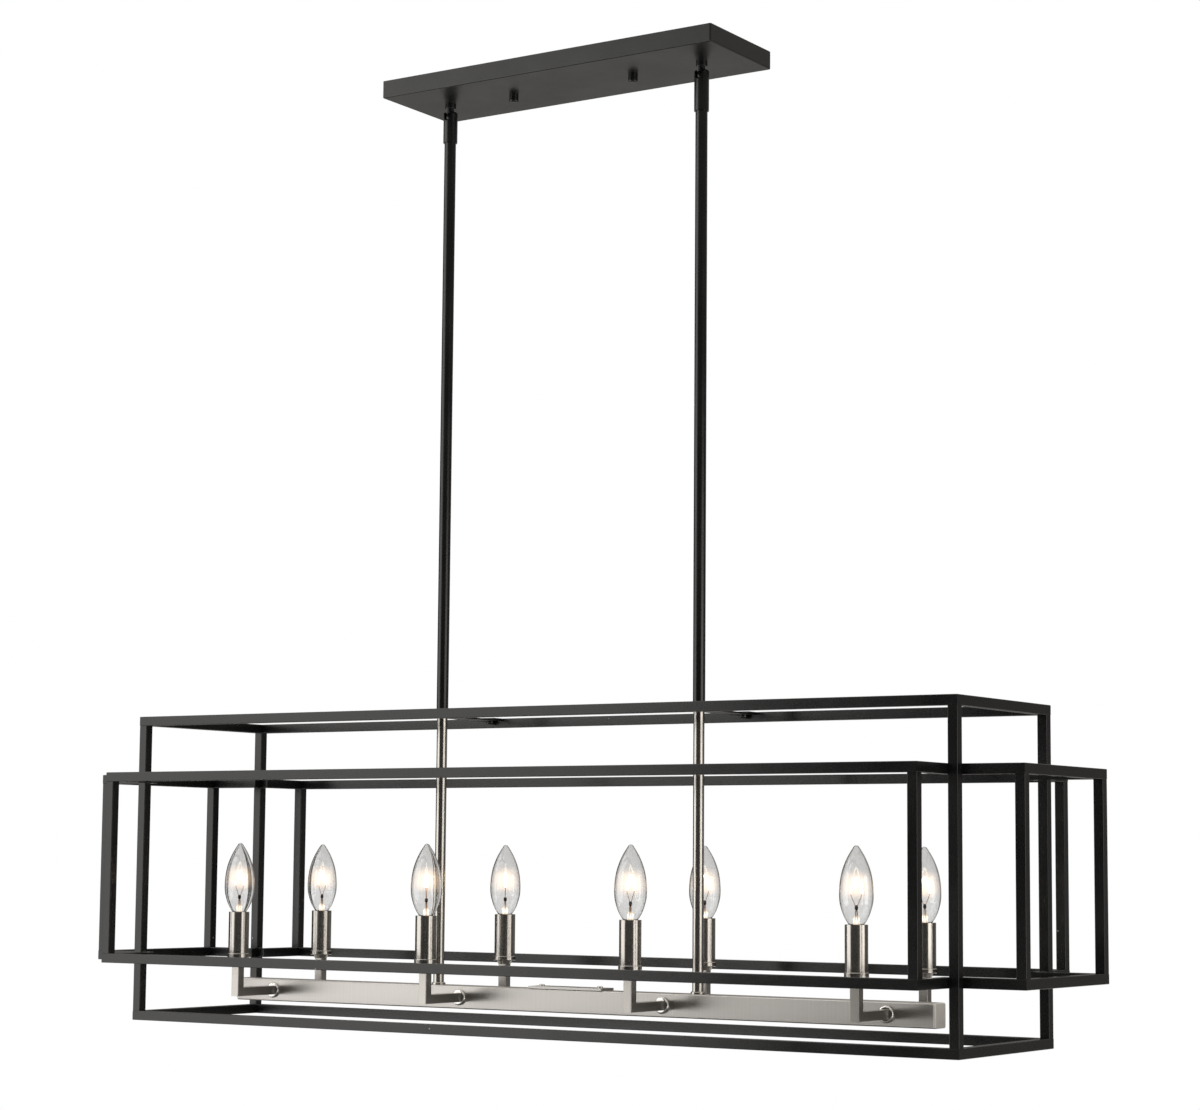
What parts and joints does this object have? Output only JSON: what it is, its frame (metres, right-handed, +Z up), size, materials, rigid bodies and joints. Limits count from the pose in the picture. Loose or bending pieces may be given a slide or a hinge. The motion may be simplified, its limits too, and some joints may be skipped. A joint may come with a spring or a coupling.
{
  "type": "linear island pendant",
  "caption": "Linear island pendant: open black square-tube cage around a nickel bar with candle lamps, hung on two rods from a flat canopy.",
  "frame": {"origin": "middle of the canopy's ceiling face", "axes": "+X along the cage's length, +Y towards the back, +Z up towards the ceiling"},
  "size_m": [1.118, 0.33, 1.015],
  "materials": {
    "black_steel": "satin black powder coat",
    "brushed_nickel": "brushed nickel plate",
    "polished_nickel": "polished nickel plate",
    "zinc_steel": "zinc plated",
    "black_plastic": "moulded",
    "green_screw": "green zinc",
    "bulb_glass": "clear",
    "bulb_base": "plated screw shell"
  },
  "bodies": {
    "canopy": {"canopy_pan": "black_steel", "ceiling_crossbar": "zinc_steel", "canopy_studs": "zinc_steel", "cap_nuts": "black_steel", "ground_screw": "green_screw", "swivel_ball_left": "black_steel", "swivel_ball_right": "black_steel", "swivel_nuts_and_washers": "zinc_steel"},
    "hanging_frame": {"arm_lock_nuts": "zinc_steel", "arm_rosettes": "polished_nickel", "arms_back": "brushed_nickel", "arms_front": "brushed_nickel", "back_band_frame": "black_steel", "bar_conductors": "black_plastic", "bar_cover": "brushed_nickel", "bar_end_caps": "brushed_nickel", "cage_corner_posts": "black_steel", "cage_end_rails": "black_steel", "cage_long_rails": "black_steel", "candle_bases": "brushed_nickel", "candle_nipples": "zinc_steel", "candle_sleeves_back": "brushed_nickel", "candle_sleeves_front": "brushed_nickel", "center_bar": "brushed_nickel", "cover_screws": "brushed_nickel", "cross_strap_left": "black_steel", "cross_strap_right": "black_steel", "down_rod_left": "black_steel", "down_rod_right": "black_steel", "front_band_frame": "black_steel", "lamp_sockets": "black_plastic", "left_band_frame": "black_steel", "right_band_frame": "black_steel", "splice_caps": "black_plastic", "stem_flanges": "brushed_nickel", "stem_left": "brushed_nickel", "stem_lock_nuts": "zinc_steel", "stem_right": "brushed_nickel", "strap_screws": "black_steel", "strap_tabs": "black_steel", "swivel_collars": "black_steel", "swivel_sleeve_left": "black_steel", "swivel_sleeve_right": "black_steel", "threaded_nipples": "zinc_steel"},
    "bulb_1": {"bulb_glass_1": "bulb_glass", "bulb_base_1": "bulb_base"},
    "bulb_2": {"bulb_glass_2": "bulb_glass", "bulb_base_2": "bulb_base"},
    "bulb_3": {"bulb_glass_3": "bulb_glass", "bulb_base_3": "bulb_base"},
    "bulb_4": {"bulb_glass_4": "bulb_glass", "bulb_base_4": "bulb_base"},
    "bulb_5": {"bulb_glass_5": "bulb_glass", "bulb_base_5": "bulb_base"},
    "bulb_6": {"bulb_glass_6": "bulb_glass", "bulb_base_6": "bulb_base"},
    "bulb_7": {"bulb_glass_7": "bulb_glass", "bulb_base_7": "bulb_base"},
    "bulb_8": {"bulb_glass_8": "bulb_glass", "bulb_base_8": "bulb_base"}
  },
  "joints": [
    {"name": "hang_swing", "type": "hinge", "parent": "canopy", "child": "hanging_frame", "pos_m": [0, 0, -0.0335], "axis": [1, 0, 0], "range_deg": [-20, 10]},
    {"name": "bulb_1_out", "type": "slide", "parent": "hanging_frame", "child": "bulb_1", "axis": [0, 0, 1], "range_m": [0, 0.03]},
    {"name": "bulb_2_out", "type": "slide", "parent": "hanging_frame", "child": "bulb_2", "axis": [0, 0, 1], "range_m": [0, 0.03]},
    {"name": "bulb_3_out", "type": "slide", "parent": "hanging_frame", "child": "bulb_3", "axis": [0, 0, 1], "range_m": [0, 0.03]},
    {"name": "bulb_4_out", "type": "slide", "parent": "hanging_frame", "child": "bulb_4", "axis": [0, 0, 1], "range_m": [0, 0.03]},
    {"name": "bulb_5_out", "type": "slide", "parent": "hanging_frame", "child": "bulb_5", "axis": [0, 0, 1], "range_m": [0, 0.03]},
    {"name": "bulb_6_out", "type": "slide", "parent": "hanging_frame", "child": "bulb_6", "axis": [0, 0, 1], "range_m": [0, 0.03]},
    {"name": "bulb_7_out", "type": "slide", "parent": "hanging_frame", "child": "bulb_7", "axis": [0, 0, 1], "range_m": [0, 0.03]},
    {"name": "bulb_8_out", "type": "slide", "parent": "hanging_frame", "child": "bulb_8", "axis": [0, 0, 1], "range_m": [0, 0.03]}
  ]
}
